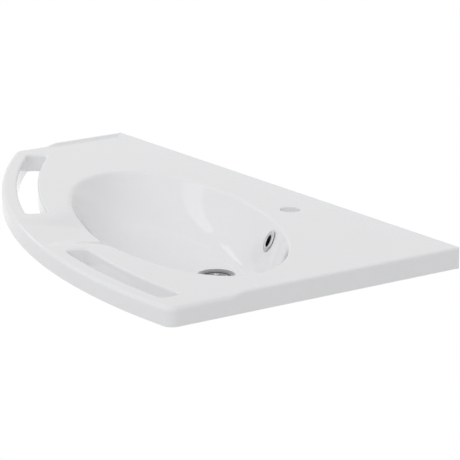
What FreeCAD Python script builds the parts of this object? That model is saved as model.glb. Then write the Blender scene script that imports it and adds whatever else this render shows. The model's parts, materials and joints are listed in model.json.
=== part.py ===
import FreeCAD, Part
import math
import os

# Corner washbasin of cast mineral with two hand slots in its front edge.
# Millimetres. Origin on the back wall, at deck height, in line with the tap hole.
# +X runs along the back wall to the right, +Y into the wall, +Z up.

V = FreeCAD.Vector

# ---- driving dimensions: outline ----
LENGTH = 1000.0            # along the back wall
TAP_FROM_RIGHT = 363.0     # tap hole to the right end
DEPTH_RIGHT = 566.5        # right end, which stands in the corner
DEPTH_LEFT = 231.5         # short left end
FRONT_RADIUS = 1300.0      # bow of the front edge
EDGE_HEIGHT = 31.8         # deck to the lower edge
CORNER_RIGHT = 18.0        # plan radii of the four corners
CORNER_LEFT = 20.0
CORNER_WALL_RIGHT = 4.0
CORNER_WALL_LEFT = 3.0
TOP_ROUND = 8.0            # rounding of the outer top edge
BOTTOM_ROUND = 2.0

# ---- driving dimensions: raised edge on the wall sides ----
LIP_HEIGHT = 3.8
LIP_WIDTH = 14.5
LIP_CREST = 6.0            # width up to the end of the flat crest
LIP_ROUND = 4.0            # rounding of its outer edge
LIP_LEFT_RUN = 146.0       # full height along the left end
LIP_RIGHT_RUN = 431.0      # full height along the right end
LIP_RAMP = 28.0

# ---- driving dimensions: hand slots and run-off dip ----
GRIP_WIDTH = 27.2          # bar between slot and front edge
SLOT_WIDTH = 36.5
SLOT_CORNER = 10.0
SLOT_TOP_ROUND = 4.5
SLOT_END_LEFT = 50.0       # left end face to the left slot
SLOT_END_RIGHT = 56.0      # right end face to the right slot
LAND_FROM_TAP = -115.0     # middle of the land between the slots
LAND_WIDTH = 242.0
DIP_SIDE = 40.0            # slot end to the side of the dip
DIP_AT_RIM = 10.9014       # depth where it opens into the bowl
DIP_RAMP = 42.0            # width of its side ramps at full depth
DIP_DEPTH = 10.0           # depth that the ramp width is taken at
DIP_FLARE = 70.0           # plan radius where it opens into the bowl

# ---- driving dimensions: bowl ----
BOWL_LONG = 701.984        # rim ellipse
BOWL_WIDE = 319.257
BOWL_FROM_TAP = -57.85     # middle of the rim to the tap hole, along the wall
BOWL_FROM_WALL = 272.35
BOWL_TURN = -16.3          # long axis against the wall, degrees
BOWL_DEPTH = 88.5
BOWL_WALL = 12.0
RIM_DROP = 52.0            # height over which the walls keep their angle
SEAT_EDGE = 2.5            # round seat outside the waste flange
ROLL_DROP = 5.0            # depth of the eased rim
TOP_SINK = 2.0             # the bowl's outer form starts inside the deck
CORNER_CUT = 0.70          # share of the depth where the outer form turns under
FOOT_SPREAD = 0.3          # of the way from the floor's edge out to the wall line
# right, left, far and near side: wall angle from upright, reach of the flat floor, width of the eased rim
BOWL_SIDES = ((32.0, 120.0, 5.0), (38.0, 200.0, 6.0), (27.0, 5.0, 4.0), (42.0, 90.0, 12.0))

# ---- driving dimensions: deck, underside, wall fixing ----
DECK_THICK = 14.0
SKIRT = 12.0
BACK_SKIRT = 16.0
SLOT_WALL = 10.0
FIXING_SPACING = 280.0
FIXING_BELOW = 58.0
APRON_SIDE = 50.0          # wall plate beyond the fixings
APRON_BELOW = 30.0
APRON_CORNER = 16.0
FIXING_BORE = 11.0
BUSH_WALL = 3.0
BUSH_FLANGE = 26.0
BUSH_FLANGE_THICK = 2.0
RIB_THICK = 10.0
RIB_REACH = 40.0
RIB_FROM_FIXING = 34.0

# ---- driving dimensions: tap hole, waste, overflow ----
TAP_HOLE = 35.0
TAP_FROM_WALL = 71.6
TAP_EDGE = 1.0
WASTE_FROM_WALL = 226.0
WASTE_HOLE = 46.0
WASTE_BOSS_WALL = 20.0
WASTE_BOSS_DROP = 16.0     # boss below the bowl's underside
FLANGE_LAND = 8.5          # flange beyond the waste hole
FLANGE = WASTE_HOLE + 2 * FLANGE_LAND
FLANGE_THICK = 2.2
SEAL_THICK = 1.0
DISH_DEPTH = 8.5
STRAINER_THICK = 2.0
STRAINER_HOLES = 6
STRAINER_HOLE = 8.6
TUBE_GAP = 1.0             # waste tube in its hole
TUBE = WASTE_HOLE - 2 * TUBE_GAP
TUBE_WALL = 1.5
OVERFLOW_WINDOWS = 4
TAIL = 41.9                # G 1 1/4
TAIL_WALL = 3.2
TAIL_LENGTH = 24.0
BODY_LAND = 11.0           # lower flange beyond the waste hole
BODY_FLANGE = WASTE_HOLE + 2 * BODY_LAND
BODY_FLANGE_THICK = 4.0
BODY_SEAL_THICK = 3.0
SPIDER_ARM = 3.0
SCREW = 6.0
SCREW_HEAD = 9.6
SCREW_HEAD_HEIGHT = 3.2
SCREW_SLOT = 1.5
INSERT_WALL = 1.3
INSERT = SCREW + 2 * INSERT_WALL
HUB_WALL = 1.7
SPIDER_HUB = INSERT + 2 * HUB_WALL
INSERT_LENGTH = 12.0
OVERFLOW_SIDE = 62.0       # right of the tap hole
OVERFLOW_BELOW = 28.0
OVERFLOW_HOLE = 25.0
RING_LAND = 6.5            # trim ring beyond the hole
RING_THICK = 2.2
SLEEVE_WALL = 1.7
SLEEVE_LENGTH = 17.0
RING_SEAT = 0.4            # ring face off the wall's hollow curve
PORT_BELOW = 3.0           # port below the bowl's underside
PORT_WIDTH = 24.0
PORT_HEIGHT = 8.5
PORT_TURN = 47.0
WINDOW_WIDTH = 12.0
TUBE_ENTRY = 2.0
TAIL_TAPER = 3.0
DISH_RIM = 7.0             # flat ring of the flange
DISH_SLOPE = 1.5           # fall of that ring
BOSS_EDGE = 1.2            # seat of the screw's head beyond the head
CENTRE_BOSS_HEIGHT = 6.0
SCREW_TURN = -17.0
CHANNEL_ROUND = 6.0
CHANNEL_TOP_GAP = 2.0
CHANNEL_SIDE = 6.0         # water way beyond the overflow hole, on each side
CHANNEL_GAP = 16.0         # clear height of the water way
CHANNEL_WALL = 3.5
BOND = 0.3                 # bond line round the channel
FIT = 0.3                  # clearance of pieces that slide together

X_RIGHT = TAP_FROM_RIGHT
X_LEFT = TAP_FROM_RIGHT - LENGTH
OUT = "parts"


def front_centre():
    """Centre of the front bow, from the two end depths and the radius."""
    a = V(X_LEFT, -DEPTH_LEFT, 0)
    b = V(X_RIGHT, -DEPTH_RIGHT, 0)
    chord = b - a
    half = chord.Length / 2
    inward = V(-chord.y, chord.x, 0).normalize()
    return (a + b) * 0.5 + inward * math.sqrt(FRONT_RADIUS ** 2 - half ** 2)


CENTRE = front_centre()


def polar(radius, angle, z=0.0):
    """Point at a radius from the bow's centre; angle from -Y, growing to the left."""
    return CENTRE + V(-radius * math.sin(angle), -radius * math.cos(angle), z)


def arc(a, b, c):
    return Part.Arc(a, b, c).toShape()


def line(a, b):
    return Part.LineSegment(a, b).toShape()


def cylinder(radius, z0, z1, x=0.0, y=0.0):
    return Part.makeCylinder(radius, z1 - z0, V(x, y, z0))


def prism(wire, z0, z1):
    face = Part.Face(wire)
    face.translate(V(0, 0, z0 - wire.BoundBox.ZMin))
    return face.extrude(V(0, 0, z1 - z0))


def outline(x0, x1, y1, radius, right, left, wall_right, wall_left):
    """Closed plan outline: two ends, the wall side and the bow, with rounded corners."""
    def bow_corner(x, r, side):
        cx = x - side * r
        cy = CENTRE.y - math.sqrt((radius - r) ** 2 - (cx - CENTRE.x) ** 2)
        c = V(cx, cy, 0)
        on_end = V(x, cy, 0)
        on_bow = CENTRE + (c - CENTRE) * (radius / (radius - r))
        mid = c + ((on_end - c) + (on_bow - c)).normalize() * r
        return on_end, mid, on_bow

    end_r, mid_r, bow_r = bow_corner(x1, right, 1)
    end_l, mid_l, bow_l = bow_corner(x0, left, -1)
    s = math.sqrt(0.5)
    low = CENTRE + ((bow_r + bow_l) * 0.5 - CENTRE).normalize() * radius
    wr, wl = wall_right, wall_left
    edges = [
        line(end_r, V(x1, y1 - wr, 0)),
        arc(V(x1, y1 - wr, 0), V(x1 - wr * (1 - s), y1 - wr * (1 - s), 0), V(x1 - wr, y1, 0)),
        line(V(x1 - wr, y1, 0), V(x0 + wl, y1, 0)),
        arc(V(x0 + wl, y1, 0), V(x0 + wl * (1 - s), y1 - wl * (1 - s), 0), V(x0, y1 - wl, 0)),
        line(V(x0, y1 - wl, 0), end_l),
        arc(end_l, mid_l, bow_l),
        arc(bow_l, low, bow_r),
        arc(bow_r, mid_r, end_r),
    ]
    return Part.Wire(edges)


def outer_wire():
    return outline(X_LEFT, X_RIGHT, 0, FRONT_RADIUS, CORNER_RIGHT, CORNER_LEFT,
                   CORNER_WALL_RIGHT, CORNER_WALL_LEFT)


# ---- slots ----

def slot_angles():
    """Start and end angle of the left and of the right slot."""
    mid = FRONT_RADIUS - GRIP_WIDTH - SLOT_WIDTH / 2
    land = math.asin((CENTRE.x - LAND_FROM_TAP) / mid)
    half = LAND_WIDTH / 2 / mid
    left_end = math.asin((CENTRE.x - (X_LEFT + SLOT_END_LEFT)) / mid)
    right_end = math.asin((CENTRE.x - (X_RIGHT - SLOT_END_RIGHT)) / mid)
    return (land + half, left_end), (right_end, land - half)


def slot_wire(a0, a1, grow=0.0):
    r1 = FRONT_RADIUS - GRIP_WIDTH + grow
    r0 = r1 - SLOT_WIDTH - 2 * grow
    c = SLOT_CORNER + grow
    mid = (r0 + r1) / 2
    a0 = a0 - grow / mid
    a1 = a1 + grow / mid

    def corner(r, a, outward, turn):
        rc = r - c if outward else r + c
        t = a + turn * math.asin(c / rc)
        centre = polar(rc, t)
        on_arc = polar(r, t)
        along = math.sqrt(rc ** 2 - c ** 2)
        on_side = polar(along, a)
        bis = ((on_arc - centre) + (on_side - centre)).normalize() * c
        return on_arc, centre + bis, on_side

    ia0, im0, is0 = corner(r0, a0, False, 1)
    ia1, im1, is1 = corner(r0, a1, False, -1)
    oa0, om0, os0 = corner(r1, a0, True, 1)
    oa1, om1, os1 = corner(r1, a1, True, -1)
    m = (a0 + a1) / 2
    return Part.Wire([
        arc(ia0, polar(r0, m), ia1), arc(ia1, im1, is1), line(is1, os1), arc(os1, om1, oa1),
        arc(oa1, polar(r1, m), oa0), arc(oa0, om0, os0), line(os0, is0), arc(is0, im0, ia0)])


# ---- bowl ----

def bowl_frame():
    """Centre and half axes of the rim ellipse."""
    return V(BOWL_FROM_TAP, -BOWL_FROM_WALL, 0), BOWL_LONG / 2, BOWL_WIDE / 2


def unit_loop(count=8):
    """A periodic cubic curve through points of the unit circle."""
    pts = []
    for i in range(count):
        q = 2 * math.pi * i / count
        pts.append(V(math.cos(q), math.sin(q), 0))
    curve = Part.BSplineCurve()
    curve.interpolate(Points=pts, PeriodicFlag=True)
    return curve


def loop_wall(rows):
    """Closed wall through oval rows: each row is its centre and its two half axis vectors."""
    unit = unit_loop()
    poles = []
    for p in unit.getPoles():
        poles.append([mid + u * p.x + n * p.y for mid, u, n in rows])
    degree = len(rows) - 1
    surface = Part.BSplineSurface()
    surface.buildFromPolesMultsKnots(poles, unit.getMultiplicities(), [degree + 1] * 2,
                                     unit.getKnots(), [0.0, 1.0], True, False, unit.Degree, degree)
    return surface.toShape()


def side_widths(step, grow):
    """Width of an oval row towards right, left, far and near; step gives it for one side."""
    c, a, b = bowl_frame()
    u, n = bowl_axes()
    waste = V(0, -WASTE_FROM_WALL, 0) - c
    du, dn = waste.dot(u), waste.dot(n)
    seat = FLANGE / 2 + SEAT_EDGE
    rims = (a, a, b, b)
    seats = (seat + du, seat - du, seat + dn, seat - dn)
    return [step(side, rim, end) + grow for side, rim, end in zip(BOWL_SIDES, rims, seats)]


def bowl_axes():
    """Level directions along and across the bowl."""
    turn = math.radians(BOWL_TURN)
    return V(math.cos(turn), math.sin(turn), 0), V(-math.sin(turn), math.cos(turn), 0)


def oval_row(step, z, grow=0.0):
    """Centre and half axis vectors of one oval row of the bowl."""
    centre = bowl_frame()[0]
    u, n = bowl_axes()
    right, left, far, near = side_widths(step, grow)
    mid = centre + u * ((right - left) / 2) + n * ((far - near) / 2) + V(0, 0, z)
    return mid, u * ((right + left) / 2), n * ((far + near) / 2)


def wall_step(depth):
    """Width of the straight wall, carried down to a depth."""
    return lambda side, rim, end: rim - depth * math.tan(math.radians(side[0]))


def floor_step(side, rim, end):
    return end + side[1]


def bowl_solid():
    """Inside of the bowl: eased rim, curved wall and a flat floor."""
    top = oval_row(lambda side, rim, end: rim + side[2], ROLL_DROP)
    eased = oval_row(lambda side, rim, end: rim - side[2], -ROLL_DROP)
    wall = [eased, oval_row(wall_step(RIM_DROP), -RIM_DROP),
            oval_row(wall_step(BOWL_DEPTH), -BOWL_DEPTH), oval_row(floor_step, -BOWL_DEPTH)]
    return closed_bowl([loop_wall([top, eased]), loop_wall(wall)])


def bowl_outer(grow=BOWL_WALL):
    """Underside of the bowl, one wall outside the inner face."""
    low = -BOWL_DEPTH - grow
    bend = low * CORNER_CUT

    def under(side, rim, end):
        floor = floor_step(side, rim, end)
        return floor + (wall_step(-low)(side, rim, end) - floor) * FOOT_SPREAD

    start = oval_row(wall_step(TOP_SINK), -TOP_SINK, grow)
    knee = oval_row(wall_step(-bend), bend, grow * 1.35)
    foot = oval_row(under, low, grow)
    return closed_bowl([loop_wall([start, knee]), loop_wall([knee, foot])])


def closed_bowl(walls):
    """Solid between stacked walls, a flat lid and a flat floor."""
    loops = [e for w in walls for e in w.Edges if e.isClosed() and e.BoundBox.ZLength < 1e-6]
    loops.sort(key=lambda e: e.BoundBox.ZMin)
    ends = [Part.Face(Part.Wire([e])) for e in (loops[0], loops[-1])]
    shell = Part.Shell(walls + ends)
    shell.sewShape()
    return Part.Solid(shell)


# ---- deck block ----

def slab():
    """Edge block with rounded edges and both hand slots."""
    block = prism(outer_wire(), -EDGE_HEIGHT, 0)
    for a0, a1 in slot_angles():
        block = block.cut(prism(slot_wire(a0, a1), -EDGE_HEIGHT - 1, 1))
    outer_top, outer_low, slot_top = [], [], []
    for e in block.Edges:
        b = e.BoundBox
        if b.ZLength > 0.01:
            continue
        if b.YMin > -0.01 or (b.YMax > -0.01 and b.YLength < CORNER_WALL_RIGHT + 0.01):
            continue
        top = b.ZMin > -0.01
        mid = e.valueAt((e.FirstParameter + e.LastParameter) / 2)
        if not in_slot_zone(mid):
            (outer_top if top else outer_low).append(e)
        elif top:
            slot_top.append(e)
    block = block.makeFillet(TOP_ROUND, outer_top)
    slot_edges = match_edges(block, slot_top)
    block = block.makeFillet(SLOT_TOP_ROUND, slot_edges)
    return block.makeFillet(BOTTOM_ROUND, match_edges(block, outer_low))


def in_slot_zone(p):
    """True for a point on the wall of a hand slot."""
    r = (p - V(CENTRE.x, CENTRE.y, p.z)).Length
    if not FRONT_RADIUS - GRIP_WIDTH - SLOT_WIDTH - 1 < r < FRONT_RADIUS - GRIP_WIDTH + 1:
        return False
    return X_LEFT + 5 < p.x < X_RIGHT - 5


def match_edges(shape, edges):
    """Edges of a shape that lie where the given edges lay."""
    found = []
    for e in shape.Edges:
        b = e.BoundBox
        for w in edges:
            c = w.BoundBox
            if (b.Center - c.Center).Length < 0.01 and abs(b.DiagonalLength - c.DiagonalLength) < 0.01:
                found.append(e)
                break
    return found


def lip_profile(height, edge_round):
    """Section of the raised edge: x is the distance from the face, y the height."""
    s = math.sqrt(0.5)
    r = edge_round
    crest = max(LIP_CREST, r + 0.5)
    low = -TOP_ROUND - 1
    mid = (crest + LIP_WIDTH) / 2
    return [("line", (0, low), (0, height - r)),
            ("arc", (0, height - r), (r * (1 - s), height - r * (1 - s)), (r, height)),
            ("line", (r, height), (crest, height)),
            ("arc", (crest, height), (mid, height * 0.4), (LIP_WIDTH, -0.02)),
            ("line", (LIP_WIDTH, -0.02), (LIP_WIDTH, low)),
            ("line", (LIP_WIDTH, low), (0, low))]


def lip_wire(height, edge_round, at, inward):
    """The section stood up at a point, with its x along the inward direction."""
    edges = []
    for part in lip_profile(height, edge_round):
        pts = [at + inward * x + V(0, 0, z) for x, z in part[1:]]
        edges.append(line(*pts) if part[0] == "line" else arc(*pts))
    return Part.Wire(edges)


def lip():
    """Raised edge along the wall, with both returns that ramp down."""
    back = Part.Face(lip_wire(LIP_HEIGHT, LIP_CREST / 4, V(X_LEFT, 0, 0), V(0, -1, 0)))
    back.translate(V(LIP_ROUND, 0, 0))
    bar = back.extrude(V(LENGTH - 2 * LIP_ROUND, 0, 0))
    pieces = [bar]
    ends = ((X_RIGHT, V(-1, 0, 0), LIP_RIGHT_RUN), (X_LEFT, V(1, 0, 0), LIP_LEFT_RUN))
    for x, inward, run in ends:
        start = lip_wire(LIP_HEIGHT, LIP_ROUND, V(x, 0, 0), inward)
        pieces.append(Part.Face(start).extrude(V(0, -run, 0)))
        full = lip_wire(LIP_HEIGHT, LIP_ROUND, V(x, -run, 0), inward)
        flat = lip_wire(0.0, TOP_ROUND, V(x, -run - LIP_RAMP, 0), inward)
        pieces.append(Part.makeLoft([full, flat], True, True))
    shape = pieces[0].fuse(pieces[1:])
    return shape.common(prism(outer_wire(), -EDGE_HEIGHT, LIP_HEIGHT + 1))


def underside_pocket():
    """Hollow below the deck, which leaves a skirt all round."""
    inner = GRIP_WIDTH + SLOT_WIDTH + SLOT_WALL
    wire = outline(X_LEFT + SKIRT, X_RIGHT - SKIRT, -BACK_SKIRT, FRONT_RADIUS - inner,
                   CORNER_RIGHT, CORNER_LEFT, CORNER_RIGHT, CORNER_LEFT)
    pocket = prism(wire, -EDGE_HEIGHT - 1, -DECK_THICK)
    a0, a1 = slot_angles()[0]
    keep = prism(slot_wire(a0, a1, SLOT_WALL), -EDGE_HEIGHT - 2, 0)
    return pocket.cut(keep)


def dip():
    """Run-off dip between the slots: a sloping floor with ramped sides that flare at the rim."""
    (l0, _), (_, r1) = slot_angles()
    reach = FRONT_RADIUS - GRIP_WIDTH - SLOT_WIDTH / 2
    sides = ((l0 - DIP_SIDE / reach, 1), (r1 + DIP_SIDE / reach, -1))
    start = FRONT_RADIUS - TOP_ROUND
    s = math.sqrt(0.5)

    def level(z):
        shift = z * DIP_RAMP / DIP_DEPTH
        lines = []
        for angle, turn in sides:
            out = polar(1, angle) - CENTRE
            along = V(out.y, -out.x, 0) * turn
            a = CENTRE + V(0, 0, z) + along * shift
            knee = rim_reach(CENTRE + along * DIP_FLARE, out)
            lines.append([a + out * (start + DIP_FLARE), a + out * (knee + DIP_FLARE),
                          a + out * (knee + DIP_FLARE * (1 - s)) + along * (DIP_FLARE * (1 - s)),
                          a + out * knee + along * DIP_FLARE,
                          a + out * (knee - DIP_FLARE) + along * DIP_FLARE])
        left, right = lines
        return Part.Wire([
            line(left[0], left[1]), arc(left[1], left[2], left[3]), line(left[3], left[4]),
            line(left[4], right[4]), line(right[4], right[3]), arc(right[3], right[2], right[1]),
            line(right[1], right[0]), line(right[0], left[0])])

    body = Part.makeLoft([level(2.0), level(-1.4 * DIP_DEPTH)], True, True)
    out = polar(1, (l0 + r1) / 2) - CENTRE
    across = V(-out.y, out.x, 0)
    fall = DIP_AT_RIM / (start - rim_reach(CENTRE, out))
    run = 3 * DIP_FLARE
    top = V(0, 0, 4 * DIP_DEPTH)
    p0 = CENTRE + out * (start + DIP_FLARE) + V(0, 0, DIP_FLARE * fall)
    p1 = CENTRE + out * (start - run) - V(0, 0, run * fall)
    face = Part.Face(Part.makePolygon([p0, p1, p1 + top, p0 + top, p0]))
    face.translate(across * (-LAND_WIDTH))
    return body.common(face.extrude(across * (2 * LAND_WIDTH)))


def rim_reach(start, direction):
    """How far the near rim lies from a point outside the bowl's far side, along a level direction."""
    c, a, b = bowl_frame()
    u, n = bowl_axes()
    px, py = (start - c).dot(u) / a, (start - c).dot(n) / b
    dx, dy = direction.dot(u) / a, direction.dot(n) / b
    k = dx * dx + dy * dy
    h = (px * dx + py * dy) / k
    return math.sqrt(h * h - (px * px + py * py - 1) / k) - h


# ---- body ----

Z_SEAT = -BOWL_DEPTH
Z_RECESS = Z_SEAT - FLANGE_THICK - SEAL_THICK
Z_SHELL = -(BOWL_DEPTH + BOWL_WALL)
Z_BOSS = Z_SHELL - WASTE_BOSS_DROP
BOSS_R = WASTE_HOLE / 2 + WASTE_BOSS_WALL
Z_PORT_HIGH = Z_SHELL - PORT_BELOW
Z_PORT_LOW = Z_PORT_HIGH - PORT_HEIGHT
WASTE = V(0, -WASTE_FROM_WALL, 0)


def apron():
    """Rear plate below the deck, with ribs beside the two wall fixings."""
    w = FIXING_SPACING / 2 + APRON_SIDE
    height = FIXING_BELOW + APRON_BELOW
    block = Part.makeBox(2 * w, BACK_SKIRT, height - DECK_THICK / 2, V(-w, -BACK_SKIRT, -height))
    low = [e for e in block.Edges if e.BoundBox.XLength < 0.01 and e.BoundBox.ZLength < 0.01
           and e.BoundBox.ZMax < -height + 0.01]
    block = block.makeFillet(APRON_CORNER, low)
    ribs = []
    for side in (-1, 1):
        for step in (-RIB_FROM_FIXING, RIB_FROM_FIXING):
            x = side * FIXING_SPACING / 2 + step - RIB_THICK / 2
            top = -DECK_THICK / 2
            back = -BACK_SKIRT / 2
            tri = Part.makePolygon([V(x, back, top), V(x, -BACK_SKIRT - RIB_REACH, top),
                                    V(x, back, -height + APRON_CORNER), V(x, back, top)])
            ribs.append(Part.Face(tri).extrude(V(RIB_THICK, 0, 0)))
    return block.fuse(ribs)


def wall_hit(solid, x, z, direction=V(0, 1, 0)):
    """Where a level line from above the waste meets the far side of a bowl form."""
    start = V(x, -WASTE_FROM_WALL, z)
    probe = line(start, start + direction * (WASTE_FROM_WALL + DEPTH_RIGHT))
    pts = [v.Point for v in solid.common(probe).Vertexes]
    return max(pts, key=lambda q: (q - start).Length)


def overflow_frame(inner):
    """Overflow centre on the bowl's far wall and the wall's normal, into the bowl."""
    h = 3.0
    z = -OVERFLOW_BELOW
    p = wall_hit(inner, OVERFLOW_SIDE, z)
    dx = wall_hit(inner, OVERFLOW_SIDE + h, z) - wall_hit(inner, OVERFLOW_SIDE - h, z)
    dz = wall_hit(inner, OVERFLOW_SIDE, z + h) - wall_hit(inner, OVERFLOW_SIDE, z - h)
    n = dx.cross(dz).normalize()
    if n.y > 0:
        n = n * -1
    return p, n


def placed(shape, p, n):
    """Moves a shape made about the z axis so that the axis runs along n through p."""
    s = shape.copy()
    s.Placement = FreeCAD.Placement(p, FreeCAD.Rotation(V(0, 0, 1), n))
    return s


def turned(points):
    """Solid of revolution about z from a closed (radius, height) outline."""
    pts = [V(r, 0, z) for r, z in points]
    face = Part.Face(Part.makePolygon(pts + [pts[0]]))
    return face.revolve(V(0, 0, 0), V(0, 0, 1), 360)


def basin_body(inner, p, n):
    body = slab().fuse(lip()).cut(underside_pocket())
    boss = cylinder(BOSS_R, Z_BOSS, Z_SEAT - BOWL_WALL / 2, WASTE.x, WASTE.y)
    body = body.fuse([bowl_outer(), apron(), boss])
    cuts = [dip(), inner]
    cuts.append(cylinder(FLANGE / 2 + FIT, Z_RECESS, Z_SEAT + 1, WASTE.x, WASTE.y))
    cuts.append(cylinder(WASTE_HOLE / 2, Z_BOSS - 1, Z_SEAT, WASTE.x, WASTE.y))
    tap_y = -TAP_FROM_WALL
    cuts.append(cylinder(TAP_HOLE / 2, -DECK_THICK - 1, 1, 0, tap_y))
    edge = TAP_HOLE / 2 + TAP_EDGE
    cuts.append(Part.makeCone(edge - 2 * TAP_EDGE, edge + TAP_EDGE, 3 * TAP_EDGE,
                              V(0, tap_y, -2 * TAP_EDGE)))
    hole = Part.makeCylinder(OVERFLOW_HOLE / 2, 3 * BOWL_WALL, V(0, 0, -2 * BOWL_WALL))
    cuts.append(placed(hole, p, n))
    for side in (-1, 1):
        x = side * FIXING_SPACING / 2
        cuts.append(Part.makeCylinder(FIXING_BORE / 2 + BUSH_WALL, BACK_SKIRT + 2,
                                      V(x, 1, -FIXING_BELOW), V(0, -1, 0)))
    port = Part.makeBox(BOSS_R + 2, PORT_WIDTH, PORT_HEIGHT, V(0, -PORT_WIDTH / 2, Z_PORT_LOW))
    port.rotate(V(0, 0, 0), V(0, 0, 1), math.degrees(math.atan2(p.y - WASTE.y, p.x)))
    port.translate(WASTE)
    cuts.append(port)
    return body.cut(cuts)


# ---- overflow ----

def channel_outline(outer, e, reach, top, low):
    """Side view of the water way, in the upright plane through waste and overflow."""
    def at(z):
        return (wall_hit(outer, 0, z, e) - V(0, WASTE.y, z)).Length + reach

    deep = -BOWL_DEPTH
    pts = [(BOSS_R - 4, top), (at(top), top), (at(deep * 0.55), deep * 0.55),
           (at(deep * 0.82), deep * 0.82), (BOSS_R + reach, Z_SHELL), (BOSS_R + reach, low),
           (BOSS_R - 4, low)]
    return [WASTE + e * s + V(0, 0, z) for s, z in pts]


def overflow_channel(p):
    """Moulded water way bonded to the bowl, from the overflow hole to the port in the boss."""
    e = V(p.x, p.y - WASTE.y, 0).normalize()
    side = V(-e.y, e.x, 0)
    outer = bowl_outer()
    top = -DECK_THICK - CHANNEL_TOP_GAP
    low = Z_BOSS + CHANNEL_TOP_GAP

    def block(reach, width, z0, z1):
        pts = channel_outline(outer, e, reach, z0, z1)
        face = Part.Face(Part.makePolygon(pts + [pts[0]]))
        face.translate(side * (-width / 2))
        return face.extrude(side * width)

    w = CHANNEL_WALL
    clear = OVERFLOW_HOLE + 2 * CHANNEL_SIDE
    shell = block(CHANNEL_GAP + w, clear + 2 * w, top, low)
    ends = [x for x in shell.Edges if abs((x.Vertexes[1].Point - x.Vertexes[0].Point).normalize()
                                          .dot(side)) < 0.01]
    far = [x for x in ends if x.BoundBox.Center.sub(WASTE).dot(e) > BOSS_R + CHANNEL_GAP]
    shell = shell.makeFillet(CHANNEL_ROUND, far)
    hollow = block(CHANNEL_GAP, clear, top - w, low + w)
    shell = shell.cut(hollow)
    shell = shell.cut(bowl_outer(BOWL_WALL + BOND))
    return shell.cut(cylinder(BOSS_R + BOND, Z_BOSS - 1, Z_SEAT, WASTE.x, WASTE.y))


def overflow_ring(p, n):
    """Trim ring with the sleeve that clips into the hole."""
    t = RING_THICK
    sleeve = OVERFLOW_HOLE / 2 - FIT
    r0 = sleeve - SLEEVE_WALL
    r1 = OVERFLOW_HOLE / 2 + RING_LAND
    low = -SLEEVE_LENGTH
    ring = turned([
        (r0, low), (sleeve, low), (sleeve, 0), (r1, 0), (r1, t * 0.4), (r1 - t * 0.6, t),
        (r0 + t * 0.5, t), (r0, t * 0.5)])
    return placed(ring, p + n * RING_SEAT, n)


# ---- waste ----

Z_BODY_SEAL = Z_BOSS - BODY_SEAL_THICK
Z_BODY_FLANGE = Z_BODY_SEAL - BODY_FLANGE_THICK
Z_TUBE = Z_BODY_FLANGE - TUBE_ENTRY
Z_NECK = Z_TUBE - 2.0
Z_TAIL_TOP = Z_NECK - TAIL_TAPER
Z_TAIL = Z_TAIL_TOP - TAIL_LENGTH
Z_DISH = Z_SEAT - DISH_DEPTH
Z_SPIDER = Z_TAIL_TOP - 2.0
Z_HEAD = Z_DISH + CENTRE_BOSS_HEIGHT


def waste_strainer():
    """Flange, dished strainer and the tube with its overflow windows, in one turning."""
    rf = FLANGE / 2
    ro = TUBE / 2
    ri = ro - TUBE_WALL
    z0 = Z_SEAT - FLANGE_THICK
    boss = SCREW_HEAD / 2 + BOSS_EDGE
    body = turned([
        (0, Z_DISH - STRAINER_THICK), (ri, Z_DISH - STRAINER_THICK), (ri, Z_TUBE), (ro, Z_TUBE),
        (ro, z0), (rf, z0), (rf, Z_SEAT - 0.8), (rf - 1.2, Z_SEAT),
        (rf - DISH_RIM, Z_SEAT - DISH_SLOPE), (ri - 1.5, Z_DISH), (boss, Z_DISH),
        (boss, Z_HEAD), (0, Z_HEAD)])
    cuts = [cylinder(SCREW / 2 + FIT, Z_DISH - STRAINER_THICK - 1, Z_HEAD + 1)]
    for i in range(STRAINER_HOLES):
        a = 2 * math.pi * (i + 0.5) / STRAINER_HOLES
        r = (boss + ri - 2.5) / 2
        cuts.append(cylinder(STRAINER_HOLE / 2, Z_DISH - STRAINER_THICK - 1, Z_DISH + 1,
                             r * math.cos(a), r * math.sin(a)))
    for i in range(OVERFLOW_WINDOWS):
        window = Part.makeBox(TUBE, WINDOW_WIDTH, PORT_HEIGHT - 1,
                              V(ri - 3, -WINDOW_WIDTH / 2, Z_PORT_LOW + 0.5))
        window.rotate(V(0, 0, 0), V(0, 0, 1), 360.0 * i / OVERFLOW_WINDOWS + PORT_TURN)
        cuts.append(window)
    body = body.cut(cuts)
    body.translate(WASTE)
    return body


def washer(outer, inner, z0, z1):
    ring = cylinder(outer, z0, z1).cut(cylinder(inner, z0 - 1, z1 + 1))
    ring.translate(WASTE)
    return ring


def waste_flange_seal():
    return washer(FLANGE / 2 - FIT, WASTE_HOLE / 2 + FIT, Z_RECESS, Z_RECESS + SEAL_THICK)


def waste_body_seal():
    return washer(BODY_FLANGE / 2 - FIT, WASTE_HOLE / 2 + FIT, Z_BODY_SEAL, Z_BOSS)


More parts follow.
